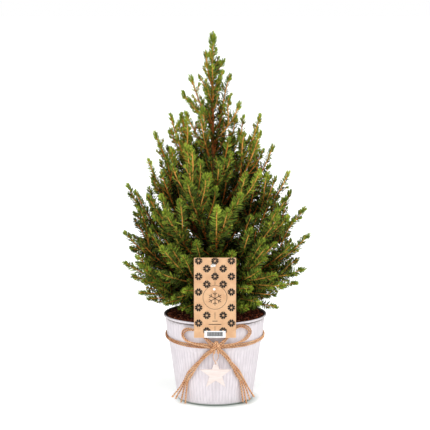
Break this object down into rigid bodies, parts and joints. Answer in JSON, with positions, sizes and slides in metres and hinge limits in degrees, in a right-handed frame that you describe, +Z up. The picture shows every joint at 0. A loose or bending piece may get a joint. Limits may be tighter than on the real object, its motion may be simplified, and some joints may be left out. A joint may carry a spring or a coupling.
{
  "type": "potted dwarf alberta spruce",
  "caption": "Small conical potted spruce with many ascending needled shoots, in a ribbed whitewashed metal pot with a jute bow, a hanging wooden star and a card tag.",
  "frame": {"origin": "middle of the pot's flat underside", "axes": "+Z up along the trunk; the bow, tag and star face -Y; +X is to the right as the tag is seen"},
  "size_m": [0.2548, 0.193, 0.501],
  "materials": {
    "needles": "short spruce needles, satin, mid to dark green with bright yellow-green shoot tips",
    "bark": "scaly reddish-brown bark on the trunk, orange-brown young twigs",
    "peat": "moist chunky dark red-brown potting peat",
    "pot_zinc": "matt brushed whitewash over ribbed zinc sheet, greyer in the grooves and at the rolled rim",
    "jute": "natural twisted jute strands, hairy and matt",
    "white_wood": "thinly whitewashed plywood",
    "kraft_card": "unbleached kraft card with a printed black lattice of eight-petalled stars",
    "white_tie": "white plastic-covered tie"
  },
  "bodies": {
    "root": {"bough_mid_left": "bark", "bough_mid_right": "bark", "bough_wide_back": "bark", "bough_wide_front": "bark", "bough_wide_front_left": "bark", "bough_wide_front_right": "bark", "bough_wide_left": "bark", "bough_wide_right": "bark", "bow_loop_left": "jute", "bow_loop_right": "jute", "bow_tail_left": "jute", "bow_tail_right": "jute", "foliage_flank_back": "needles", "foliage_flank_front": "needles", "foliage_flank_front_right": "needles", "foliage_flank_left": "needles", "foliage_flank_right": "needles", "foliage_high_back": "needles", "foliage_high_front_left": "needles", "foliage_high_front_right": "needles", "foliage_high_left": "needles", "foliage_high_right": "needles", "foliage_leader": "needles", "foliage_low_back_left": "needles", "foliage_low_back_right": "needles", "foliage_low_front_left": "needles", "foliage_low_front_right": "needles", "foliage_low_left": "needles", "foliage_low_right": "needles", "foliage_mid_left": "needles", "foliage_mid_right": "needles", "foliage_shoulder_back_left": "needles", "foliage_shoulder_back_right": "needles", "foliage_shoulder_left": "needles", "foliage_shoulder_right": "needles", "foliage_side_back_left": "needles", "foliage_side_back_right": "needles", "foliage_side_front_left": "needles", "foliage_side_front_right": "needles", "foliage_side_left": "needles", "foliage_side_right": "needles", "foliage_skirt_left": "needles", "foliage_skirt_right": "needles", "foliage_spire_left": "needles", "foliage_spire_right": "needles", "foliage_wide_back": "needles", "foliage_wide_front": "needles", "foliage_wide_front_left": "needles", "foliage_wide_front_right": "needles", "foliage_wide_left": "needles", "foliage_wide_right": "needles", "pot": "pot_zinc", "soil": "peat", "star": "white_wood", "star_string": "jute", "tag": "kraft_card", "tag_tie": "white_tie", "trunk": "bark", "twine_band": "jute", "twine_knot": "jute"}
  },
  "joints": []
}
